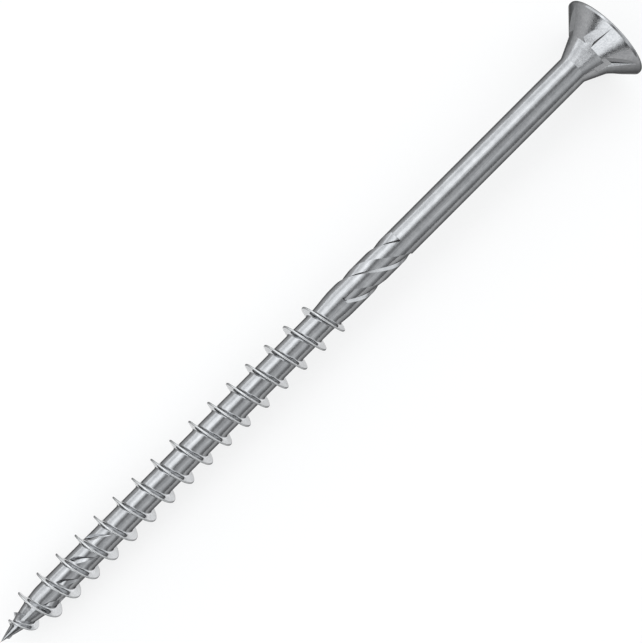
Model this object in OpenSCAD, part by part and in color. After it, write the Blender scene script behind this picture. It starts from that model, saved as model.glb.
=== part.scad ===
// Countersunk chipboard screw with a partial thread, lying on its side as it comes to rest.
// The screw is built upright, with its point at the origin and its head up, and laid down at the end.

/* [Overall] */
// Length from the point to the flat top of the head
screw_length = 110; // [85:1:200]

/* [Thread] */
// Diameter over the thread crests
thread_d = 6; // [5:0.1:7]
// Diameter of the core between the threads
core_d = 3.6; // [3.2:0.05:4]
// Distance along the screw from one crest to the next
pitch = 3.44; // [2.8:0.02:5]
// Distance from the point to the end of the full thread
thread_length = 59.4; // [30:0.2:78]
// Angle between the two flanks of the thread
thread_angle = 14; // [10:1:40]
// Width of the flat on the crest
crest_flat = 0.24; // [0.1:0.01:0.4]
// Width of the hollow blend between a flank and the core
root_blend = 0.28; // [0.1:0.01:0.4]
// Share of a turn over which the thread fades out at its end
runout_turns = 0.4; // [0.25:0.05:1]

/* [Point] */
// Length of the slender core point
point_length = 8.1; // [5:0.1:12]
// Distance from the point to where the crests reach their full diameter
crest_taper = 6.4; // [4.5:0.1:8]
// Distance from the point to the first crest that passes the underside
first_crest = 5.3; // [4:0.1:7]
// Height of the cutting blade on the point above its core
blade_h = 0.5; // [0.2:0.05:0.7]

/* [Core notches] */
// Distance from the point to the end of the notched stretch
notch_end = 19.6; // [12:0.2:28]
// Lead of the three helical rows that the notches follow
notch_lead = 12.6; // [9:0.1:20]
// Depth of a notch below the core
notch_depth = 0.3; // [0.2:0.02:0.4]
// Width of a notch along the screw
notch_w = 1.7; // [0.8:0.05:1.9]

/* [Shank] */
// Diameter of the plain shank
shank_d = 4.2; // [4.1:0.05:4.8]
// Length of the swelling from the core to the shank
swell_length = 3.8; // [3:0.1:6]

/* [Shank cutter] */
// Distance from the end of the full thread to the grooves
cutter_gap = 2.8; // [2.4:0.1:6]
// Length of the grooved stretch of the shank
cutter_length = 10.4; // [6:0.2:16]
// Number of grooves round the shank
cutter_starts = 3; // [2:1:4]
// Lead of the grooves
cutter_lead = 16.8; // [12:0.1:30]
// Depth of a groove
cutter_depth = 0.32; // [0.15:0.01:0.5]
// Width of a groove along the shank
cutter_w = 2.7; // [1.5:0.1:3.2]

/* [Head] */
// Diameter of the head
head_d = 12.6; // [11.4:0.1:14]
// Height of the rim band above the countersink
rim_h = 0.45; // [0.35:0.05:1.2]
// Full angle of the countersink
countersink_angle = 90; // [80:1:100]
// Diameter where the flare meets the countersink
neck_d = 6.8; // [6.1:0.1:7.4]
// Angle of the flare to the axis
flare_angle = 25; // [20:1:35]
// Radius of the hollow blend between the shank and the flare
flare_blend = 1; // [0.4:0.1:2]

/* [Milling pockets] */
// Number of pockets round the underside of the head
pocket_count = 6; // [4:1:7]
// Depth of a pocket at its step
pocket_depth = 0.48; // [0.2:0.02:0.6]
// Height of a pocket's deepest corner above the neck
pocket_rise = 0.75; // [0.6:0.05:1.2]
// Angle by which the wall of a pocket's step leans back
pocket_lean = 40; // [10:5:50]
// Angle from the underside of the screw to the step of the first pocket
pocket_turn = 58; // [0:1:60]

/* [Drive recess] */
// Diameter across the six lobes
lobe_d = 5.6; // [5:0.05:6]
// Diameter between the lobes
inner_d = 3.95; // [3.6:0.05:4.2]
// Radius of the tip of a lobe
lobe_r = 0.45; // [0.35:0.01:0.5]
// Depth of the straight lobes
recess_depth = 3; // [1.5:0.1:3.4]
// Width of the shallow bevel round the recess
bevel_w = 0.15; // [0.05:0.05:0.4]
// Depth of the shallow bevel
bevel_h = 0.3; // [0.1:0.05:0.5]

/* [Hidden] */

thread_r = thread_d / 2;
core_r = core_d / 2;
shank_r = shank_d / 2;
head_r = head_d / 2;
neck_r = neck_d / 2;
steps = 24;                 // angular steps in one turn of the thread
point_power = 1.3;          // how fully the slender point is rounded into the core
thread_start = 1.1;         // distance from the point to where the thread begins
blend_share = 0.25;         // share of the thread height that the root blend climbs
end_lift = 0.1;             // distance between the edges that close the last turn
join_step = 0.02;           // how far the swelling stays inside the shank that it runs into
join_lap = 0.3;             // how deep the swelling reaches into the shank
clear = 0.2;                // how far a cutter stands out of the surface that it cuts
swell_lead = 1.4;           // how far before the end of the full thread the swelling begins
round_steps = 96;           // steps round a turned surface

// Heights along the upright screw
cutter_start = thread_length + cutter_gap;
swell_from = thread_length - swell_lead;
swell_to = swell_from + swell_length;
rim_z = screw_length - rim_h;
neck_z = rim_z - (head_r - neck_r) / tan(countersink_angle / 2);
flare_z = neck_z - (neck_r - shank_r) / tan(flare_angle);

// Radius of the core, from the point through the threaded part and the swelling to the shank
function core_at(z) =
    z < point_length ? core_r * (1 - pow(1 - max(z, 0) / point_length, point_power))
    : core_r + (shank_r - join_step - core_r) * ease((z - swell_from) / swell_length);

// Smooth rise from 0 to 1
function ease(t) = let (s = min(max(t, 0), 1)) s * s * (3 - 2 * s);

// Radius that the crests may reach at a height
function crest_at(z) = thread_r * min(1, max(z, 0) / crest_taper);

// Columns of the thread: column 0 passes the underside at first_crest
first_col = ceil((thread_start - first_crest) / pitch * steps);
full_col = floor((thread_length - first_crest) / pitch * steps);
last_col = full_col + ceil(runout_turns * steps);

function col_z(c) = first_crest + pitch * c / steps;
function col_angle(c) = 360 * c / steps;
function fade(c) = ease((last_col - c) / (last_col - full_col));
function thread_height(c) = max(0, crest_at(col_z(c)) - core_at(col_z(c))) * fade(c);

// The thread profile: side of the crest, whether it is at the foot, and share of the height
PROFILE = [[-1, 1, 0], [-1, 0, blend_share], [-1, 0, 1], [1, 0, 1], [1, 0, blend_share], [1, 1, 0]];
rows = len(PROFILE);

// Distance of a profile point from the middle of the crest
function flank_x(p, h) =
    crest_flat / 2 + (1 - p[2]) * h * tan(thread_angle / 2) + p[1] * root_blend;

function polar(r, angle, z) = [r * cos(angle), r * sin(angle), z];

function thread_z(c, p) = col_z(c) + p[0] * flank_x(p, thread_height(c));

function thread_point(c, p) =
    let (z = thread_z(c, p))
    polar(core_at(z) + p[2] * thread_height(c), col_angle(c), z);

// The edge that closes the last turn climbs gently from the thread's foot to just above its end
end_foot = thread_z(last_col, PROFILE[0]);
end_top = thread_z(last_col, PROFILE[rows - 1]) + end_lift;

function end_point(j) =
    let (z = end_foot + (end_top - end_foot) * j / steps)
    polar(core_at(z), col_angle(last_col + j), z);

// Index of a profile row in a column, where the last row of a turn is the first row of the next
function lattice(c, p) =
    p == rows ? lattice(c + steps, 0)
    : c <= last_col ? (c - first_col) * rows + p
    : (last_col - first_col + 1) * rows + c - last_col - 1;

// Flat rings that carry the surface from the end of the thread into the shank
ring_from = end_top + end_lift;
ring_to = swell_to + join_lap;
ring_count = 4;
function ring_z(k) = ring_from + (ring_to - ring_from) * k / (ring_count - 1);
function ring(k, j) = lattice(last_col + steps, 0) + 1 + k * steps + j % steps;

thread_points = concat(
    [for (c = [first_col:last_col], p = PROFILE) thread_point(c, p)],
    [for (j = [1:steps]) end_point(j)],
    [for (k = [0:ring_count - 1], j = [0:steps - 1])
        polar(core_at(ring_z(k)), col_angle(last_col + j), ring_z(k))],
    [[0, 0, 0]]);

thread_faces = let (
    apex = len(thread_points) - 1,
    start = first_col,
    turn = lattice(start + steps - 1, 0),
    next = lattice(last_col + 1, 0))
    concat(
    // The helical strips
    [for (c = [first_col:last_col - 1], p = [0:rows - 1], half = [0, 1])
        half == 0 ? [lattice(c, p), lattice(c, p + 1), lattice(c + 1, p + 1)]
        : [lattice(c, p), lattice(c + 1, p + 1), lattice(c + 1, p)]],
    // The point under the first turn
    [for (c = [start:start + steps - 2]) [apex, lattice(c, 0), lattice(c + 1, 0)]],
    [[apex, turn, lattice(start, 0)]],
    [for (p = [0:rows - 1]) [turn, lattice(start, p + 1), lattice(start, p)]],
    // From the last turn to the first flat ring
    [for (p = [0:rows - 1]) [next, lattice(last_col, p), lattice(last_col, p + 1)]],
    [[next, lattice(last_col, rows), ring(0, 0)], [next, ring(0, 0), ring(0, 1)]],
    [for (j = [1:steps - 1], half = [0, 1])
        half == 0 ? [lattice(last_col + j, 0), ring(0, j), ring(0, j + 1)]
        : [lattice(last_col + j, 0), ring(0, j + 1), lattice(last_col + j + 1, 0)]],
    // The flat rings and the end face
    [for (k = [0:ring_count - 2], j = [0:steps - 1], half = [0, 1])
        half == 0 ? [ring(k, j), ring(k + 1, j), ring(k + 1, j + 1)]
        : [ring(k, j), ring(k + 1, j + 1), ring(k, j + 1)]],
    [[for (j = [steps - 1:-1:0]) ring(ring_count - 1, j)]]);

// Faces of a closed sweep of sections, whose corners run anticlockwise seen along the sweep
function sweep_faces(sections, corners) = concat(
    [for (s = [0:sections - 2], i = [0:corners - 1], half = [0, 1])
        let (a = s * corners, b = a + corners, k = (i + 1) % corners)
        half == 0 ? [a + i, a + k, b + k] : [a + i, b + k, b + i]],
    [[for (i = [corners - 1:-1:0]) i]],
    [[for (i = [0:corners - 1]) (sections - 1) * corners + i]]);

// Core, thread and swelling as one closed surface that follows the helix
module threaded_core() {
    color("silver")
        polyhedron(thread_points, thread_faces);
}

// Plain shank, flare, countersink and rim, turned about the axis
head_edge = 0.25;           // rounding of the top edge of the head
rim_edge = 0.12;            // rounding of the lower edge of the rim
arc_steps = 5;

// Points on an arc about a centre, from one angle to another
function arc(centre, r, from, to) =
    [for (i = [0:arc_steps]) let (a = from + (to - from) * i / arc_steps)
        centre + r * [cos(a), sin(a)]];

flare_tangent = flare_blend * tan(flare_angle / 2);
cone_half = countersink_angle / 2;
rim_tangent = rim_edge * tan(cone_half / 2);

head_outline = concat(
    arc([shank_r + flare_blend, flare_z - flare_tangent], flare_blend, 180, 180 - flare_angle),
    [[neck_r, neck_z]],
    arc([head_r - rim_edge, rim_z + rim_tangent], rim_edge, -cone_half, 0),
    arc([head_r - head_edge, screw_length - head_edge], head_edge, 0, 90));

module shank_and_head() {
    color("silver")
        rotate_extrude($fn = round_steps)
            polygon(concat([[0, swell_to], [shank_r, swell_to]], head_outline, [[0, screw_length]]));
}

no_gap = 1000;              // wider than any cutter, so it limits none

// Cutter of one helical groove, which starts at height 0 over the underside and climbs with its lead.
// point_share is the part of the width on the side of the point, so a small one makes that side steep.
// run_in and run_out are the shares of the length over which it sinks in and rises out again.
// stand_out is how far it stands out of the surface that it cuts.
// Its mouth stays in a gap of the given width, which climbs with gap_pitch and is crossed half way along.
module helical_cutter(r, lead, length, depth, width, point_share, run_in, run_out, stand_out, sections,
    gap = no_gap, gap_pitch = 0) {
    rise = stand_out / 2;
    function sink(t) = (depth + rise) * min(1, t / run_in, (1 - t) / run_out) - rise;
    function section(t) =
        let (
            angle = 360 * t * length / lead,
            z = t * length,
            reach = width * (sink(t) + stand_out) / depth,
            middle = length / 2 + gap_pitch * (t - 0.5) * length / lead)
        [
            polar(r - sink(t), angle, z),
            polar(r + stand_out, angle, max(z - point_share * reach, middle - gap / 2)),
            polar(r + stand_out, angle, min(z + (1 - point_share) * reach, middle + gap / 2))
        ];
    polyhedron([for (i = [0:sections - 1]) each section(i / (sections - 1))], sweep_faces(sections, 3));
}

// Grooves of the shank cutter, with a steep flank towards the point and a gentle one to the head
groove_turn = 66;           // angle from the underside to the start of the first groove
groove_share = 0.22;        // share of the width that the steep flank takes
groove_over = 0.8;          // how far a cutter runs past the blunt ends of its groove
groove_ramp = 0.05;         // share of its length over which a cutter sinks in or rises out
groove_sections = 22;

module shank_grooves() {
    intersection() {
        for (i = [0:cutter_starts - 1])
            rotate(groove_turn + 360 * (i / cutter_starts - groove_over / cutter_lead))
                translate([0, 0, cutter_start - groove_over])
                    helical_cutter(shank_r, cutter_lead, cutter_length + 2 * groove_over, cutter_depth,
                        cutter_w, groove_share, groove_ramp, groove_ramp, clear, groove_sections);
        translate([0, 0, cutter_start])
            cylinder(h = cutter_length, r = head_r, $fn = round_steps);
    }
}

// One milling pocket: a three-cornered pocket with two floors and a leaning step at its deep end
pocket_low = 1.05;          // how far below the neck the pocket begins
pocket_high = 0.15;         // how far inside the rim the pocket ends
pocket_feed = [-1, -3.21, -0.95];     // how the pocket runs out of the head from its step

// Corners of the step as radius and height
pocket_foot = [neck_r - pocket_low * tan(flare_angle), neck_z - pocket_low];
pocket_deep = [neck_r + pocket_rise * tan(cone_half) - pocket_depth, neck_z + pocket_rise];
pocket_tip = [head_r - pocket_high, rim_z - pocket_high / tan(cone_half)];
pocket_out = [head_r + clear, neck_z - pocket_low];

// How far a corner lies outside the line from the pocket's foot to its tip
function outside(p) = cross(p - pocket_foot, pocket_tip - pocket_foot) / norm(pocket_tip - pocket_foot);

pocket_step = [
    for (p = [pocket_foot, pocket_deep, pocket_tip, pocket_out])
        [p.x, tan(pocket_lean) * outside(p), p.y]
];

module pocket_cutter() {
    polyhedron(concat(pocket_step, [for (p = pocket_step) p + pocket_feed]), sweep_faces(2, 4));
}

module milling_pockets() {
    for (i = [0:pocket_count - 1])
        rotate(pocket_turn + 360 / pocket_count * i)
            pocket_cutter();
}

// Notches in the core, where steep helical rows cross the gaps between the threads
notch_starts = 3;           // number of rows
notch_row = 11.4;           // height at which the first row passes the upper side
upper_side = 0.5;           // the upper side, in turns from the underside
notch_share = 0.72;         // share of the width that the gentle floor takes, towards the point
notch_in = 0.12;
notch_out = 0.75;
notch_clear = 0.05;         // small, so that a notch leaves the threads beside it whole
notch_step = 14;            // largest angle between two sections of a notch
gap_from = first_crest + pitch / 2;     // height at which the middle of a gap passes the underside
gap_w = pitch - 2 * flank_x(PROFILE[0], thread_r - core_r);
notch_length = gap_w / (1 - pitch / notch_lead);     // it crosses the whole gap
notch_sections = 1 + ceil(360 * notch_length / notch_lead / notch_step);

// The rows cross the gap once in every notch_spacing of height, counted from notch_ref
gap_rate = 1 / pitch - 1 / notch_lead;
notch_spacing = 1 / (notch_starts * gap_rate);
notch_ref = (gap_from / pitch - notch_row / notch_lead + upper_side) / gap_rate;
notch_first = ceil((point_length - notch_ref) / notch_spacing);
notch_last = floor((notch_end - notch_ref) / notch_spacing);

module core_notches() {
    for (i = [notch_first:notch_last])
        let (z = notch_ref + i * notch_spacing, from = z - notch_length / 2)
            rotate(360 * ((z - gap_from) / pitch - notch_length / 2 / notch_lead))
                translate([0, 0, from])
                    helical_cutter(core_at(z), notch_lead, notch_length, notch_depth, notch_w,
                        notch_share, notch_in, notch_out, notch_clear, notch_sections, gap_w, pitch);
}

// Sharp cutting blade on the point: a short rib that climbs more steeply than the thread
blade_z = 3.4;              // height at which the blade begins
blade_from = 55;            // angle from the underside to where it begins
blade_sweep = 150;          // angle that it sweeps
blade_lead = 5.2;
blade_foot = 0.45;          // half the width of its foot, which lies inside the core
blade_root = 0.25;          // how deep its foot lies
blade_peak = 0.2;           // share of its length at which it is highest
blade_sections = 11;

function blade_section(t) =
    let (
        angle = blade_from + blade_sweep * t,
        z = blade_z + blade_lead * blade_sweep * t / 360,
        rise = (blade_h + clear) * min(t / blade_peak, (1 - t) / (1 - blade_peak)) - clear)
    [
        polar(core_at(z) - blade_root, angle, z - blade_foot),
        polar(core_at(z) + rise, angle, z),
        polar(core_at(z) - blade_root, angle, z + blade_foot)
    ];

module point_blade() {
    color("silver")
        polyhedron([for (i = [0:blade_sections - 1]) each blade_section(i / (blade_sections - 1))],
            sweep_faces(blade_sections, 3));
}

// Outline of the six-lobe recess: lobe tips joined by hollow arcs that meet them smoothly
lobe_centre = lobe_d / 2 - lobe_r;
hollow_r = (pow(lobe_r, 2) - pow(lobe_centre, 2) - pow(inner_d / 2, 2)
    + lobe_centre * inner_d * cos(30)) / (inner_d - 2 * lobe_centre * cos(30) - 2 * lobe_r);
hollow_centre = inner_d / 2 + hollow_r;
lobe_half = atan2(hollow_centre * sin(30), hollow_centre * cos(30) - lobe_centre);
hollow_half = lobe_half - 30;

module six_lobe_outline() {
    polygon([for (i = [0:5]) each
        [for (p = concat(
            arc([lobe_centre, 0], lobe_r, -lobe_half, lobe_half),
            arc(hollow_centre * [cos(30), sin(30)], hollow_r, 210 + hollow_half, 210 - hollow_half)))
            [p[0] * cos(60 * i) - p[1] * sin(60 * i), p[0] * sin(60 * i) + p[1] * cos(60 * i)]]]);
}

// Drive recess with straight lobes, a drilled bottom and a shallow bevel at its mouth
drill_angle = 118;
drill_h = inner_d / 2 / tan(drill_angle / 2);
bevel_lap = 0.01;           // how far inside the tips of the lobes the bevel starts

module drive_recess() {
    translate([0, 0, screw_length - recess_depth]) {
        linear_extrude(recess_depth + clear)
            six_lobe_outline();
        translate([0, 0, -drill_h])
            cylinder(h = drill_h, r1 = 0, r2 = inner_d / 2, $fn = round_steps);
    }
    translate([0, 0, screw_length - bevel_h])
        cylinder(h = 2 * bevel_h, r1 = lobe_d / 2 - bevel_lap, r2 = lobe_d / 2 + 2 * bevel_w,
            $fn = round_steps);
}

module upright_screw() {
    difference() {
        union() {
            threaded_core();
            point_blade();
            shank_and_head();
        }
        core_notches();
        shank_grooves();
        milling_pockets();
        drive_recess();
    }
}

// The screw rests on the rim of its head and on one of the first crests at its point
rest_crests = 4;
crest_z = [for (k = [0:rest_crests - 1]) first_crest + k * pitch - crest_flat / 2];
rest_tilt = min([for (z = crest_z)
    max([for (p = head_outline) atan2(p[0] - crest_at(z), p[1] - z)])]);
rest_lift = max([for (p = head_outline) p[0] * cos(rest_tilt) - p[1] * sin(rest_tilt)]);
rest_reach = max([for (p = head_outline) p[1] * cos(rest_tilt) + p[0] * sin(rest_tilt)]);

module screw() {
    translate([-rest_reach / 2, 0, rest_lift])
        rotate([0, 90 - rest_tilt, 0])
            upright_screw();
}

screw();
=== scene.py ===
"""Looks of a countersunk chipboard screw that lies on a pale floor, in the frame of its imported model."""

import math

import bpy
import numpy as np
from mathutils import Matrix, Vector


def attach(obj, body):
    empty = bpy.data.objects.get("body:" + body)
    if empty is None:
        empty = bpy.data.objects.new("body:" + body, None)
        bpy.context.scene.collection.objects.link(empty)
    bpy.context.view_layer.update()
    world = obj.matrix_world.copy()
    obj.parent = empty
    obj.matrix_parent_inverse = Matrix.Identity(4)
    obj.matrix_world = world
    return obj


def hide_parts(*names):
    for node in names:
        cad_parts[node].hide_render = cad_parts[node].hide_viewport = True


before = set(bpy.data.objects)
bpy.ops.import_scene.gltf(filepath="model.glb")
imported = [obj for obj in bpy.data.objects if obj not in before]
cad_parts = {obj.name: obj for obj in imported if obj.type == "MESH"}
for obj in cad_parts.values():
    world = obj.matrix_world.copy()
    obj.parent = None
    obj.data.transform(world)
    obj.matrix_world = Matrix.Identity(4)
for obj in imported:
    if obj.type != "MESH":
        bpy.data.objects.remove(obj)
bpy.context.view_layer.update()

MM = 0.001

# Driving sizes in millimetres and degrees, for a screw with its point at the origin and its head up
LENGTH = 110.0
THREAD_R = 3.0
CORE_R = 1.8
SHANK_R = 2.1
HEAD_R = 6.3
NECK_R = 3.4                    # where the flare meets the countersink
PITCH = 3.44
THREAD_START = 1.1
THREAD_LENGTH = 59.4            # from the point to the end of the full thread
THREAD_ANGLE = 14.0             # between the two flanks
CREST_FLAT = 0.24
CREST_ROUND = 0.1               # how far down its sides the crest is rounded
CREST_TAPER = 6.4               # height at which the crests reach their full radius
FIRST_CREST = 5.3               # height at which the first crest passes the underside
ROOT_BLEND = 0.28               # width of the hollow blend between a flank and the core
RUNOUT_TURNS = 0.4              # share of a turn over which the thread fades out
POINT_LENGTH = 8.1
POINT_POWER = 1.3               # how fully the slender point is rounded into the core
SWELL_LENGTH = 3.8              # from the core to the shank
SWELL_LEAD = 1.4                # how far before the end of the full thread the swelling begins
RIM_H = 0.45
RIM_EDGE = 0.12                 # rounding of the lower edge of the rim
HEAD_EDGE = 0.25                # rounding of the top edge of the head
CONE_HALF = 45.0                # half the angle of the countersink
FLARE_ANGLE = 25.0              # of the flare to the axis
FLARE_BLEND = 1.0               # radius of the hollow between the shank and the flare

# Heights along the screw
SWELL_FROM = THREAD_LENGTH - SWELL_LEAD
RIM_Z = LENGTH - RIM_H
NECK_Z = RIM_Z - (HEAD_R - NECK_R) / math.tan(math.radians(CONE_HALF))
FLARE_Z = NECK_Z - (NECK_R - SHANK_R) / math.tan(math.radians(FLARE_ANGLE))

# How the screw lies: the tilt of its axis, the height of its point, and its length on the floor
REST_TILT, REST_LIFT, REST_REACH = 1.87175, 2.71685, 110.139
LAY_DOWN = (Matrix.Translation(Vector((-REST_REACH / 2, 0, REST_LIFT)) * MM)
            @ Matrix.Rotation(math.radians(90 - REST_TILT), 4, "Y")
            @ Matrix.Scale(MM, 4))

# Columns of the thread: column 0 passes the underside at FIRST_CREST
STEPS = 96                      # steps in one turn
FIRST_COL = math.ceil((THREAD_START - FIRST_CREST) / PITCH * STEPS)
FULL_COL = math.floor((THREAD_LENGTH - FIRST_CREST) / PITCH * STEPS)
LAST_COL = FULL_COL + math.ceil(RUNOUT_TURNS * STEPS)

# Shares of the thread's height
BLEND_SHARE = 0.4               # that the root blend climbs
FLANK_SHARE = 0.65              # at which the flank has a point
ROUND_SHARE = 0.3               # the most that the rounding of the crest takes
BLEND_POINTS = 8
CREST_ANGLES = (0, 25, 50, 75)  # angles of the points over half of the rounded crest

GAP_ROWS = 5                    # rows of points between two turns
CONE_ROWS = 14                  # rows of points under the first turn
CONE_POWER = 1.2                # crowds those rows towards the point
END_LIFT = 0.1                  # distance between the edges that close the last turn


def ease(t):
    """Smooth rise from 0 to 1."""
    s = np.clip(t, 0, 1)
    return s * s * (3 - 2 * s)


def core_at(z):
    """Radius of the core, from the point to the shank."""
    point = CORE_R * (1 - (1 - min(max(z, 0), POINT_LENGTH) / POINT_LENGTH) ** POINT_POWER)
    return float(point + (SHANK_R - CORE_R) * ease((z - SWELL_FROM) / SWELL_LENGTH))


def crest_at(z):
    """Radius that the crests may reach at a height."""
    return THREAD_R * min(1, z / CREST_TAPER)


def polar(r, angle, z):
    a = math.radians(angle)
    return (r * math.cos(a), r * math.sin(a), z)


def arc(x, z, r, start, end, steps):
    """Points on an arc about (x, z), between two angles."""
    return [(x + r * math.cos(a), z + r * math.sin(a))
            for a in np.radians(np.linspace(start, end, steps + 1))]


class Surface:
    """Points and faces of a surface that winds round the axis."""

    def __init__(self):
        self.verts = []
        self.faces = []

    def add(self, r, angle, z):
        """Adds a point and gives its index."""
        self.verts.append(polar(r, angle, z))
        return len(self.verts) - 1

    def height(self, index):
        return self.verts[index][2]

    def strip(self, a, b):
        """Faces between two lines of equally many points."""
        for i in range(len(a) - 1):
            self.faces.append((a[i], b[i], b[i + 1], a[i + 1]))

    def join(self, a, b):
        """Triangles between two lines of points that both climb."""
        i = j = 0
        while i < len(a) - 1 or j < len(b) - 1:
            if j == len(b) - 1 or (i < len(a) - 1 and self.height(a[i + 1]) <= self.height(b[j + 1])):
                self.faces.append((a[i], b[j], a[i + 1]))
                i += 1
            else:
                self.faces.append((a[i], b[j], b[j + 1]))
                j += 1


# Body of the screw: one surface that follows the helix and then the turned outline
def col_z(c):
    return FIRST_CREST + PITCH * c / STEPS


def col_angle(c):
    return 360.0 * c / STEPS


def thread_height(c):
    fade = float(ease((LAST_COL - c) / (LAST_COL - FULL_COL)))
    return max(0.0, crest_at(col_z(c)) - core_at(col_z(c))) * fade


def half_profile(h):
    """Half of the thread's section as (distance from the middle of the crest, height), foot first."""
    slope = math.tan(math.radians(THREAD_ANGLE / 2))

    def flank(share):
        return np.array([CREST_FLAT / 2 + (1 - share) * h * slope, share * h])

    corner, shoulder = flank(0), flank(BLEND_SHARE)
    foot = corner + (ROOT_BLEND, 0)
    points = [(1 - t) ** 2 * foot + 2 * t * (1 - t) * corner + t * t * shoulder
              for t in np.linspace(0, 1, BLEND_POINTS)]
    points.append(flank(FLANK_SHARE))
    edge = min(CREST_ROUND, ROUND_SHARE * h)
    side = CREST_FLAT / 2 + edge * slope
    for a in map(math.radians, CREST_ANGLES):
        points.append((side * math.cos(a), h - edge + edge * math.sin(a)))
    return points


def add_columns(surface):
    """The points over the thread at each step of the helix, from its lower to its upper foot."""
    columns = {}
    for c in range(FIRST_COL, LAST_COL + 1):
        half = half_profile(thread_height(c))
        profile = [(-x, y) for x, y in half] + half[::-1]
        columns[c] = [surface.add(core_at(col_z(c) + x) + y, col_angle(c), col_z(c) + x)
                      for x, y in profile]
    return columns


def add_closing_line(surface, columns):
    """The line that closes the last turn, from the thread's lower foot to just above its upper one."""
    start = surface.height(columns[LAST_COL][0])
    end = surface.height(columns[LAST_COL][-1]) + END_LIFT
    heights = [start + (end - start) * j / STEPS for j in range(1, STEPS + 1)]
    return {c: surface.add(core_at(z), col_angle(c), z) for c, z in enumerate(heights, LAST_COL + 1)}


def add_lines(surface, columns, closing):
    """Each column with the gap above it, as far as the foot of the next turn."""
    feet = {c: column[0] for c, column in columns.items()} | closing
    lines = {}
    for c, column in columns.items():
        start, end = surface.height(column[-1]), surface.height(feet[c + STEPS])
        heights = [start + (end - start) * k / (GAP_ROWS + 1) for k in range(1, GAP_ROWS + 1)]
        lines[c] = column + [surface.add(core_at(z), col_angle(c), z) for z in heights]
        lines[c].append(feet[c + STEPS])
    return lines


def add_point(surface, lines):
    """The point under the first turn."""
    apex = surface.add(0.0, 0.0, 0.0)
    cone = []
    for c in range(FIRST_COL, FIRST_COL + STEPS):
        top = surface.height(lines[c][0])
        heights = [top * (k / CONE_ROWS) ** CONE_POWER for k in range(1, CONE_ROWS)]
        cone.append([surface.add(core_at(z), col_angle(c), z) for z in heights] + [lines[c][0]])
    for a, b in zip(cone, cone[1:]):
        surface.faces.append((apex, b[0], a[0]))
        surface.strip(a, b)
    surface.faces.append((apex, cone[0][0], cone[-1][0]))
    surface.join(cone[-1], cone[0][:-1] + lines[FIRST_COL])


# Places of the rings of the turned part
SHANK_STEP = 0.6                # between the rings along the swelling and the shank
FLARE_SPACE = 0.2               # between the last of them and the flare
FLARE_END = 0.45                # how far inside the neck the straight side of the flare ends
NECK_INSET, NECK_SPACE = 0.02, 0.05     # rings beside the neck, which keep its edge crisp
CONE_STEP, CONE_END = 0.25, 2.7         # rings over the countersink
RIM_STEPS, EDGE_STEPS, FLARE_STEPS = 6, 12, 10
TOP_RINGS = (5.4, 4.8, 4.2, 3.6)        # radii on the flat top


def turned_outline(start):
    """Outline from the end of the thread to the flat top of the head, as (radius, height)."""
    rim_tangent = RIM_EDGE * math.tan(math.radians(CONE_HALF / 2))
    flare_from = FLARE_Z - FLARE_BLEND * math.tan(math.radians(FLARE_ANGLE / 2))
    outline = [(core_at(z), z) for z in np.arange(start, flare_from - FLARE_SPACE, SHANK_STEP)]
    outline += arc(SHANK_R + FLARE_BLEND, flare_from, FLARE_BLEND, 180, 180 - FLARE_ANGLE, FLARE_STEPS)
    outline += [(NECK_R - FLARE_END, NECK_Z - FLARE_END / math.tan(math.radians(FLARE_ANGLE))),
                (NECK_R - NECK_INSET, NECK_Z - NECK_SPACE),
                (NECK_R, NECK_Z),
                (NECK_R + NECK_SPACE, NECK_Z + NECK_SPACE)]
    outline += [(NECK_R + d, NECK_Z + d) for d in np.arange(CONE_STEP, CONE_END, CONE_STEP)]
    outline += arc(HEAD_R - RIM_EDGE, RIM_Z + rim_tangent, RIM_EDGE, -CONE_HALF, 0, RIM_STEPS)
    outline += arc(HEAD_R - HEAD_EDGE, LENGTH - HEAD_EDGE, HEAD_EDGE, 0, 90, EDGE_STEPS)
    return outline + [(r, LENGTH) for r in TOP_RINGS]


def add_turned_part(surface, columns, closing, lines):
    """Flat rings from the end of the thread along the shank to the top of the head."""
    start = surface.height(columns[LAST_COL][-1]) + END_LIFT + END_LIFT
    rings = [[surface.add(r, col_angle(LAST_COL + j), z) for j in range(STEPS)]
             for r, z in turned_outline(start)]
    base, top = rings[0], rings[-1]
    for j in range(1, STEPS):
        a, b = closing[LAST_COL + j], closing[LAST_COL + j + 1]
        surface.faces.append((a, b, base[(j + 1) % STEPS], base[j]))
    corner = closing[LAST_COL + 1]
    tail = lines[LAST_COL] + [base[0]]
    surface.faces += [(a, corner, b) for a, b in zip(tail, tail[1:])]
    surface.faces.append((corner, base[1], base[0]))
    for low, high in zip(rings, rings[1:]):
        for j in range(STEPS):
            k = (j + 1) % STEPS
            surface.faces.append((low[j], low[k], high[k], high[j]))
    centre = surface.add(0.0, 0.0, LENGTH)
    surface.faces += [(top[j], top[(j + 1) % STEPS], centre) for j in range(STEPS)]


def screw_body():
    surface = Surface()
    columns = add_columns(surface)
    closing = add_closing_line(surface, columns)
    lines = add_lines(surface, columns, closing)
    for c in range(FIRST_COL, LAST_COL):
        surface.strip(lines[c], lines[c + 1])
    add_point(surface, lines)
    add_turned_part(surface, columns, closing, lines)
    return surface.verts, surface.faces


# Cutters
CLEAR = 0.2                     # how far a cutter stands out of the surface that it cuts
NO_GAP = 1000.0                 # wider than any cutter, so it limits none


def sweep_faces(sections, corners):
    """Faces of a closed sweep of sections, whose corners run anticlockwise seen along the sweep."""
    faces = []
    for s in range(sections - 1):
        for i in range(corners):
            a, b, k = s * corners, (s + 1) * corners, (i + 1) % corners
            faces.append((a + i, b + i, b + k, a + k))
    faces.append(tuple(range(corners)))
    faces.append(tuple(sections * corners - corners + i for i in reversed(range(corners))))
    return faces


def sweep(sections):
    """Closed mesh over sections, which are lists of their corners."""
    verts = [tuple(map(float, p)) for section in sections for p in section]
    return verts, sweep_faces(len(sections), len(sections[0]))


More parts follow.
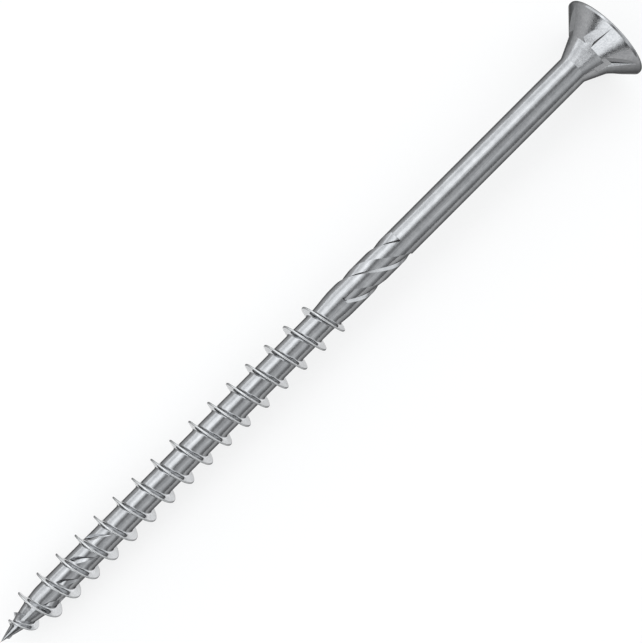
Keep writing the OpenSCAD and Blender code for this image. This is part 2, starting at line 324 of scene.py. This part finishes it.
def helical_cutter(turn, start, r, lead, length, depth, width, point_share, run_in, run_out,
                   stand_out, sections, gap=NO_GAP, gap_pitch=0.0):
    """Cutter of one helical groove.

    It starts at an angle and a height and climbs with its lead. point_share is the part of its width
    on the side of the point. Over run_in and run_out, shares of its length, it sinks in and rises out.
    Its mouth stays in a gap that climbs with gap_pitch and is crossed half way along."""
    rise = stand_out / 2
    rings = []
    for i in range(sections):
        t = i / (sections - 1)
        sink = (depth + rise) * min(1, t / run_in, (1 - t) / run_out) - rise
        angle = turn + 360 * t * length / lead
        z = start + t * length
        reach = width * (sink + stand_out) / depth
        middle = start + length / 2 + gap_pitch * (t - 0.5) * length / lead
        rings.append([
            polar(r - sink, angle, z),
            polar(r + stand_out, angle, max(z - point_share * reach, middle - gap / 2)),
            polar(r + stand_out, angle, min(z + (1 - point_share) * reach, middle + gap / 2))])
    return sweep(rings)


GROOVES = 3
GROOVE_GAP = 2.8                # from the end of the full thread to the grooves
GROOVE_FROM = THREAD_LENGTH + GROOVE_GAP
GROOVE_LENGTH = 10.4
GROOVE_LEAD = 16.8
GROOVE_TURN = 66                # angle from the underside to the start of the first groove
GROOVE_OVER = 0.8               # how far a cutter runs past the blunt ends of its groove


def groove_cutters():
    """Grooves of the shank, with a steep flank towards the point and a gentle one to the head."""
    return [helical_cutter(
        turn=GROOVE_TURN + 360 / GROOVES * i - 360 * GROOVE_OVER / GROOVE_LEAD,
        start=GROOVE_FROM - GROOVE_OVER, r=SHANK_R, lead=GROOVE_LEAD,
        length=GROOVE_LENGTH + 2 * GROOVE_OVER, depth=0.32, width=2.7, point_share=0.22,
        run_in=0.05, run_out=0.05, stand_out=CLEAR, sections=72) for i in range(GROOVES)]


NOTCH_ROWS = 3
NOTCH_LEAD = 12.6
NOTCH_ROW_Z = 11.4              # height at which the first row passes the upper side
NOTCH_END = 19.6
UPPER_SIDE = 0.5                # the upper side, in turns from the underside
GAP_FROM = FIRST_CREST + PITCH / 2      # height at which the middle of a gap passes the underside
THREAD_FOOT = (CREST_FLAT / 2 + (THREAD_R - CORE_R) * math.tan(math.radians(THREAD_ANGLE / 2))
               + ROOT_BLEND)
GAP_W = PITCH - 2 * THREAD_FOOT


def notch_cutters():
    """Notches in the core, where steep helical rows cross the gaps between the turns."""
    length = GAP_W / (1 - PITCH / NOTCH_LEAD)
    gap_rate = 1 / PITCH - 1 / NOTCH_LEAD
    spacing = 1 / (NOTCH_ROWS * gap_rate)
    ref = (GAP_FROM / PITCH - NOTCH_ROW_Z / NOTCH_LEAD + UPPER_SIDE) / gap_rate
    first, last = math.ceil((POINT_LENGTH - ref) / spacing), math.floor((NOTCH_END - ref) / spacing)
    cutters = []
    for z in (ref + i * spacing for i in range(first, last + 1)):
        cutters.append(helical_cutter(
            turn=360 * ((z - GAP_FROM) / PITCH - length / 2 / NOTCH_LEAD),
            start=z - length / 2, r=core_at(z), lead=NOTCH_LEAD, length=length, depth=0.3, width=1.7,
            point_share=0.72, run_in=0.12, run_out=0.75, stand_out=0.05, sections=28,
            gap=GAP_W, gap_pitch=PITCH))
    return cutters


BLADE_Z = 3.4                   # height at which the blade begins
BLADE_H = 0.5                   # height above the core
BLADE_FROM, BLADE_SWEEP = 55, 150       # the angle at which it begins, and the one that it sweeps
BLADE_LEAD = 5.2
BLADE_FOOT = 0.45               # half the width of its foot, which lies inside the core
BLADE_ROOT = 0.25               # how deep its foot lies
BLADE_PEAK = 0.2                # share of its length at which it is highest
BLADE_STEPS = 32


def point_blade():
    """Sharp cutting blade on the point: a short rib that climbs more steeply than the thread."""
    rings = []
    for i in range(BLADE_STEPS + 1):
        t = i / BLADE_STEPS
        angle, z = BLADE_FROM + BLADE_SWEEP * t, BLADE_Z + BLADE_LEAD * BLADE_SWEEP * t / 360
        rise = (BLADE_H + CLEAR) * min(t / BLADE_PEAK, (1 - t) / (1 - BLADE_PEAK)) - CLEAR
        rings.append([polar(core_at(z) - BLADE_ROOT, angle, z - BLADE_FOOT),
                      polar(core_at(z) + rise, angle, z),
                      polar(core_at(z) - BLADE_ROOT, angle, z + BLADE_FOOT)])
    return sweep(rings)


POCKETS = 6
POCKET_LOW = 1.05               # how far below the neck a pocket begins
POCKET_RISE = 0.75              # height of its deepest corner above the neck
POCKET_DEPTH = 0.48
POCKET_HIGH = 0.15              # how far inside the rim it ends
POCKET_LEAN = 40                # angle by which the wall of its step leans back
POCKET_TURN = 58                # angle from the underside of the screw to the step of the first one
POCKET_FEED = (-1, -3.21, -0.95)        # how a pocket runs out of the head from its step


def pocket_cutters():
    """Milling pockets under the head: two floors and a leaning step at the deep end of each."""
    foot = (NECK_R - POCKET_LOW * math.tan(math.radians(FLARE_ANGLE)), NECK_Z - POCKET_LOW)
    deep = (NECK_R + POCKET_RISE - POCKET_DEPTH, NECK_Z + POCKET_RISE)
    tip = (HEAD_R - POCKET_HIGH, RIM_Z - POCKET_HIGH)
    out = (HEAD_R + CLEAR, NECK_Z - POCKET_LOW)
    run, climb = tip[0] - foot[0], tip[1] - foot[1]

    def step_corner(r, z):
        """A corner of the step, leaned back by how far it lies outside the line from foot to tip."""
        outside = ((r - foot[0]) * climb - (z - foot[1]) * run) / math.hypot(run, climb)
        return (r, math.tan(math.radians(POCKET_LEAN)) * outside, z)

    step = np.array([step_corner(*p) for p in (foot, deep, tip, out)])
    cutters = []
    for i in range(POCKETS):
        a = math.radians(POCKET_TURN + 360 / POCKETS * i)
        turn = np.array([[math.cos(a), -math.sin(a), 0], [math.sin(a), math.cos(a), 0], [0, 0, 1]])
        cutters.append(sweep([step @ turn.T, (step + POCKET_FEED) @ turn.T]))
    return cutters


LOBES = 6
LOBE_HALF = 30                  # half the angle between two lobes
LOBE_D, INNER_D = 5.6, 3.95     # diameters across the lobes and between them
LOBE_TIP_R = 0.45
RECESS_DEPTH = 3.0
DRILL_HALF = 59                 # half the angle of the drilled bottom
BEVEL_W, BEVEL_H = 0.15, 0.3
TIP_STEPS, HOLLOW_STEPS = 14, 10
BEVEL_LAP = 0.01                # how far inside the tips of the lobes the bevel starts
DRILL_LAP = 0.001               # how far the drilled bottom reaches into the recess
SAME_PLACE = 1e-6               # points nearer than this are one point


def lobe_outline():
    """Outline of the six-lobe recess: lobe tips joined by hollow arcs that meet them smoothly."""
    centre = LOBE_D / 2 - LOBE_TIP_R
    cos_half, sin_half = math.cos(math.radians(LOBE_HALF)), 0.5
    hollow_r = ((LOBE_TIP_R ** 2 - centre ** 2 - (INNER_D / 2) ** 2 + centre * INNER_D * cos_half)
                / (INNER_D - 2 * centre * cos_half - 2 * LOBE_TIP_R))
    hollow = INNER_D / 2 + hollow_r
    x, y = hollow * cos_half, hollow * sin_half
    tip_half = math.degrees(math.atan2(y, x - centre))
    start, end = 180 + LOBE_HALF + tip_half - LOBE_HALF, 180 + LOBE_HALF - tip_half + LOBE_HALF
    lobe = arc(centre, 0, LOBE_TIP_R, -tip_half, tip_half, TIP_STEPS)
    lobe += arc(x, y, hollow_r, start, end, HOLLOW_STEPS)
    points = []
    for i in range(LOBES):
        a = math.radians(360 / LOBES * i)
        for x, y in lobe:
            p = (x * math.cos(a) - y * math.sin(a), x * math.sin(a) + y * math.cos(a))
            if not points or math.dist(p, points[-1]) > SAME_PLACE:
                points.append(p)
    if math.dist(points[0], points[-1]) < SAME_PLACE:
        points.pop()
    return points


def prism(low, z0, high, z1):
    """Closed mesh between two outlines of equally many (x, y) points at two heights."""
    n = len(low)
    verts = [(x, y, z0) for x, y in low] + [(x, y, z1) for x, y in high]
    faces = [(i, (i + 1) % n, n + (i + 1) % n, n + i) for i in range(n)]
    return verts, faces + [tuple(reversed(range(n))), tuple(range(n, 2 * n))]


def circle(r):
    return [(r * math.cos(2 * math.pi * i / STEPS), r * math.sin(2 * math.pi * i / STEPS))
            for i in range(STEPS)]


def cone(tip_z, z, r):
    """Closed cone with its tip at the bottom."""
    verts = [(0, 0, tip_z)] + [(x, y, z) for x, y in circle(r)]
    faces = [(0, 1 + (i + 1) % STEPS, 1 + i) for i in range(STEPS)]
    return verts, faces + [tuple(range(1, STEPS + 1))]


def recess_cutters():
    """Drive recess with straight lobes, a drilled bottom and a shallow bevel at its mouth."""
    bottom = LENGTH - RECESS_DEPTH
    drill_h = INNER_D / 2 / math.tan(math.radians(DRILL_HALF))
    lobes = lobe_outline()
    bevel_low, bevel_high = circle(LOBE_D / 2 - BEVEL_LAP), circle(LOBE_D / 2 + 2 * BEVEL_W)
    return [prism(lobes, bottom, lobes, LENGTH + CLEAR),
            cone(bottom - drill_h, bottom + DRILL_LAP, INNER_D / 2),
            prism(bevel_low, LENGTH - BEVEL_H, bevel_high, LENGTH + BEVEL_H)]


# Making the piece
PLAIN, FLANK, CREST = range(3)  # the finishes of its faces, in the order of FINISHES
FLANK_FROM = 0.12               # height above the core at which the thread's own finish begins
SHARP_ANGLE = 11                # edges that turn by more than this stay sharp


def mesh_object(name, verts, faces):
    mesh = bpy.data.meshes.new(name)
    mesh.from_pydata(verts, [], faces)
    mesh.update()
    obj = bpy.data.objects.new(name, mesh)
    bpy.context.scene.collection.objects.link(obj)
    return obj


def combine(obj, other, operation):
    """Changes an object by a boolean with another one, which is used up."""
    mod = obj.modifiers.new("cut", "BOOLEAN")
    mod.operation = operation
    mod.solver = "MANIFOLD"
    mod.object = other
    graph = bpy.context.evaluated_depsgraph_get()
    result = bpy.data.meshes.new_from_object(obj.evaluated_get(graph))
    obj.modifiers.clear()
    old = obj.data
    obj.data = result
    bpy.data.meshes.remove(old)
    bpy.data.objects.remove(other)


def blunt_grooves():
    """Groove cutters that end in upright walls."""
    cutters = []
    for mesh in groove_cutters():
        cutter = mesh_object("groove", *mesh)
        wall = prism(circle(HEAD_R), GROOVE_FROM, circle(HEAD_R), GROOVE_FROM + GROOVE_LENGTH)
        combine(cutter, mesh_object("wall", *wall), "INTERSECT")
        cutters.append(cutter)
    return cutters


def finish_at(centre):
    """Finish of a face by its place in the screw's own frame."""
    r, z = math.hypot(centre.x, centre.y), centre.z
    threaded = FIRST_CREST - PITCH < z < SWELL_FROM + PITCH
    if not threaded or r < core_at(z) + FLANK_FROM:
        return PLAIN
    return CREST if r > crest_at(z) - CREST_ROUND else FLANK


def build_screw():
    """The screw as it lies, and the finish of each of its faces."""
    screw = mesh_object("screw_steel", *screw_body())
    combine(screw, mesh_object("blade", *point_blade()), "UNION")
    meshes = notch_cutters() + pocket_cutters() + recess_cutters()
    for cutter in [mesh_object("cutter", *mesh) for mesh in meshes] + blunt_grooves():
        combine(screw, cutter, "DIFFERENCE")
    finishes = [finish_at(face.center) for face in screw.data.polygons]
    screw.data.transform(LAY_DOWN)
    screw.data.polygons.foreach_set("use_smooth", [True] * len(screw.data.polygons))
    screw.data.set_sharp_from_angle(angle=math.radians(SHARP_ANGLE))
    screw.data.update()
    return screw, finishes


# Camera, straight above the axis and turned so that the screw runs along the picture's diagonal
FOCAL_PX, SCALE_PX, FRAME_W = 1455.0, 7.79, 642     # focal length, pixels per millimetre, width
SENSOR_W = 36                           # in millimetres
FOOT_Z, FOOT_Y = 58.2, 0.02             # where the camera aims: along the axis, and across it


def add_camera():
    tilt = math.radians(REST_TILT)
    along = Vector((math.cos(tilt), 0, math.sin(tilt)))
    across = Vector((0, 1, 0))
    out = Vector((-math.sin(tilt), 0, math.cos(tilt)))
    foot = LAY_DOWN @ Vector((0, 0, FOOT_Z)) + across * FOOT_Y * MM
    right = (along - across).normalized()
    up = (along + across).normalized()
    data = bpy.data.cameras.new("camera")
    data.sensor_fit = "HORIZONTAL"
    data.sensor_width = SENSOR_W
    data.lens = FOCAL_PX / FRAME_W * SENSOR_W
    data.clip_start = MM
    camera = bpy.data.objects.new("camera", data)
    bpy.context.scene.collection.objects.link(camera)
    turn = Matrix((right, up, out)).transposed().to_4x4()
    camera.matrix_world = Matrix.Translation(foot + out * FOCAL_PX / SCALE_PX * MM) @ turn
    bpy.context.scene.camera = camera


# Shader nodes
def fill(tree, node, inputs):
    """Sets a node's inputs to values, or links them to sockets."""
    for key, value in inputs.items():
        if isinstance(value, bpy.types.NodeSocket):
            tree.links.new(value, node.inputs[key])
        else:
            node.inputs[key].default_value = value


def add_node(tree, kind, inputs, **settings):
    node = tree.nodes.new(kind)
    for key, value in settings.items():
        setattr(node, key, value)
    fill(tree, node, inputs)
    return node


def maths(tree, operation, *values):
    return add_node(tree, "ShaderNodeMath", dict(enumerate(values)), operation=operation).outputs[0]


def map_range(tree, value, low, high, to_low, to_high, interpolation="LINEAR"):
    inputs = dict(enumerate((value, low, high, to_low, to_high)))
    node = add_node(tree, "ShaderNodeMapRange", inputs, interpolation_type=interpolation)
    return node.outputs[0]


def blend(tree, factor, a, b, **settings):
    inputs = {"Factor": factor, "A": a, "B": b}
    return add_node(tree, "ShaderNodeMix", inputs, **settings).outputs["Result"]


def colour_ramp(tree, value, stops, interpolation="LINEAR"):
    """Colours over a value, from stops of (position, colour)."""
    node = add_node(tree, "ShaderNodeValToRGB", {0: value})
    node.color_ramp.interpolation = interpolation
    elements = node.color_ramp.elements
    while len(elements) > 1:
        elements.remove(elements[-1])
    for i, (position, colour) in enumerate(stops):
        stop = elements[0] if i == 0 else elements.new(position)
        stop.position = position
        stop.color = (*colour, 1)
    return node.outputs["Color"]


# Brightness of the studio round the screw, by the angle from overhead across the screw:
# the side of a large soft panel is positive
STUDIO = [(-180, 0.28), (-85, 0.26), (-76, 0.35), (-67, 0.48), (-59, 0.71), (-51, 0.95), (-43, 1),
          (-36, 0.9), (-28, 0.76), (-21, 0.69), (-14, 0.69), (-7, 0.48), (0, 0.3), (7, 0.35),
          (14, 0.73), (21, 1.3), (28, 1.81), (34, 2.09), (42, 2.14), (50, 1.86), (59, 1.49),
          (69, 1.44), (80, 1.77), (88, 2.33), (95, 2.33), (180, 0.56)]
POINT_PANEL, HEAD_PANEL = 2.0, 1.6      # brightness of the panels beyond the point and the head
END_DARK = 0.12                         # brightness beside those panels
POINT_SPREAD, HEAD_SPREAD = (0.34, 0.5), (1.0, 1.5)     # slopes to the side where the panels fade out
END_SPREAD = (0.5, 0.72)                # shares of a direction along the screw where the ends take over
MIDDLE = 0.1                            # the same share, where one end has taken over from the other
TINT = (0.965, 0.985, 1.0)              # colour of the light


def add_world():
    """Soft gradient across the screw, with a panel beyond each of its ends."""
    world = bpy.data.worlds.new("studio")
    bpy.context.scene.world = world
    world.use_nodes = True
    tree = world.node_tree
    tree.nodes.clear()
    coord = add_node(tree, "ShaderNodeTexCoord", {})
    x, y, z = add_node(tree, "ShaderNodeSeparateXYZ", {0: coord.outputs["Generated"]}).outputs

    def smooth(value, spread, start, end):
        return map_range(tree, value, *spread, start, end, "SMOOTHSTEP")

    turn = maths(tree, "ARCTAN2", y, z)
    share = maths(tree, "MULTIPLY_ADD", turn, 1 / (2 * math.pi), 0.5)
    stops = [((angle + 180) / 360, (level, level, level)) for angle, level in STUDIO]
    sides = colour_ramp(tree, share, stops, "EASE")
    along = maths(tree, "ABSOLUTE", x)
    across = maths(tree, "DIVIDE", maths(tree, "ABSOLUTE", y), along)
    point_end = smooth(across, POINT_SPREAD, POINT_PANEL, END_DARK)
    head_end = smooth(across, HEAD_SPREAD, HEAD_PANEL, END_DARK)
    at_head = smooth(x, (-MIDDLE, MIDDLE), 0, 1)
    ends = blend(tree, at_head, point_end, head_end, data_type="FLOAT")
    light = blend(tree, smooth(along, END_SPREAD, 0, 1), sides, ends, data_type="RGBA")
    tinted = blend(tree, 1, light, (*TINT, 1), data_type="RGBA", blend_type="MULTIPLY")
    back = add_node(tree, "ShaderNodeBackground", {"Color": tinted})
    add_node(tree, "ShaderNodeOutputWorld", {"Surface": back.outputs[0]})


# Floor
FLOOR_REACH = 3.0                       # half its width in metres
FLOOR_COLOUR = (0.95, 0.95, 0.95, 1)
FLOOR_GLOW = 0.7                        # how far the shadow on it is lifted towards white


def pale_floor():
    mat = bpy.data.materials.new("pale_floor")
    mat.use_nodes = True
    tree = mat.node_tree
    tree.nodes.clear()
    soft = add_node(tree, "ShaderNodeBsdfDiffuse", {"Color": FLOOR_COLOUR})
    glow = add_node(tree, "ShaderNodeEmission", {})
    path = add_node(tree, "ShaderNodeLightPath", {}).outputs
    seen = maths(tree, "MAXIMUM", path["Is Camera Ray"], path["Is Glossy Ray"])
    seen = maths(tree, "MAXIMUM", seen, path["Is Transmission Ray"])
    share = maths(tree, "MULTIPLY", seen, FLOOR_GLOW)
    mix = add_node(tree, "ShaderNodeMixShader", {0: share, 1: soft.outputs[0], 2: glow.outputs[0]})
    add_node(tree, "ShaderNodeOutputMaterial", {"Surface": mix.outputs[0]})
    return mat


def add_floor():
    r = FLOOR_REACH
    floor = mesh_object("floor", [(-r, -r, 0), (r, -r, 0), (r, r, 0), (-r, r, 0)], [(0, 1, 2, 3)])
    floor.data.materials.append(pale_floor())


# Bright zinc plate on steel: plain, on the flanks of the thread, and on its crests, where a lighter plate
# is a painted highlight along each crest.
# edge and film are greys: the metal's tint where it is seen at a slant, and the colour of its film.
FINISHES = (
    dict(name="zinc_plated_steel", edge=0.0, film=0.5, roughness=(0.12, 0.22),
         dark=(0.7, 0.71, 0.73), light=(0.96, 0.97, 0.99)),
    dict(name="zinc_plated_thread", edge=0.7, film=1.0, roughness=(0.1, 0.18),
         dark=(0.7, 0.71, 0.725), light=(0.88, 0.89, 0.905)),
    # On the crests a plate lighter than on the flanks is a painted highlight along each crest; its greater
    # roughness is the metal's own.
    dict(name="crest_painted_highlight", edge=0.0, film=0.65, roughness=(0.34, 0.44),
         dark=(0.85, 0.86, 0.87), light=(0.97, 0.98, 0.99)))
FILM_IOR, FILM_ROUGHNESS = 1.05, 0.2

# Noises, with scales per millimetre. A stretch with a small first number draws one out along the screw.
CLOUDS = dict(scale=0.9, detail=4)
GRAIN = dict(scale=3.5, detail=5)
STREAKS = dict(scale=5.0, detail=4, stretch=(0.05, 1, 1), rough=0.6)
FINE_RELIEF = dict(scale=7.0, detail=6)
DRAWN_RELIEF = dict(scale=9.0, detail=3, stretch=(0.04, 1, 1))
GRAIN_SHARE = 0.4               # of the marks, beside the streaks
MARKS_SHARE = 0.65              # of the mottling, beside the clouds
MOTTLE_RANGE = (0.38, 0.62)     # from the darkest to the lightest plate
ROUGH_RANGE = (0.3, 0.7)        # of the grain, from the smoothest to the roughest plate
RELIEF_STRENGTH, RELIEF_HEIGHT = 0.5, 0.00001


def zinc_plate(name, edge, film, roughness, dark, light):
    """Mottled zinc plate under a film that darkens it more towards its edges."""
    mat = bpy.data.materials.new(name)
    mat.use_nodes = True
    tree = mat.node_tree
    coord = add_node(tree, "ShaderNodeTexCoord", {})
    place = add_node(tree, "ShaderNodeMapping", {
        "Vector": coord.outputs["Object"],
        "Rotation": (0, math.radians(REST_TILT), 0),
        "Scale": (1 / MM, 1 / MM, 1 / MM)}, vector_type="POINT")

    def noise(scale, detail, stretch=(1, 1, 1), rough=0.5):
        drawn = add_node(tree, "ShaderNodeMapping", {"Vector": place.outputs[0], "Scale": stretch})
        inputs = {"Vector": drawn.outputs[0], "Scale": scale, "Detail": detail, "Roughness": rough}
        return add_node(tree, "ShaderNodeTexNoise", inputs).outputs["Fac"]

    grain = noise(**GRAIN)
    marks = blend(tree, GRAIN_SHARE, noise(**STREAKS), grain, data_type="FLOAT")
    mottle = blend(tree, MARKS_SHARE, noise(**CLOUDS), marks, data_type="FLOAT")
    relief = maths(tree, "ADD", noise(**FINE_RELIEF), noise(**DRAWN_RELIEF))
    bump = add_node(tree, "ShaderNodeBump", {
        "Height": relief, "Strength": RELIEF_STRENGTH, "Distance": RELIEF_HEIGHT})
    fill(tree, tree.nodes["Principled BSDF"], {
        "Base Color": colour_ramp(tree, mottle, zip(MOTTLE_RANGE, (dark, light))),
        "Metallic": 1,
        "Roughness": map_range(tree, grain, *ROUGH_RANGE, *roughness),
        "Normal": bump.outputs["Normal"],
        "Specular Tint": (edge, edge, edge, 1),
        "Coat Weight": 1,
        "Coat IOR": FILM_IOR,
        "Coat Roughness": FILM_ROUGHNESS,
        "Coat Tint": (film, film, film, 1)})
    return mat


bpy.context.scene.view_settings.view_transform = "Standard"
add_camera()
add_world()
add_floor()
screw, finishes = build_screw()
screw.data.materials.clear()
for finish in FINISHES:
    screw.data.materials.append(zinc_plate(**finish))
screw.data.polygons.foreach_set("material_index", finishes)
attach(screw, "root")
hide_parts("screw")
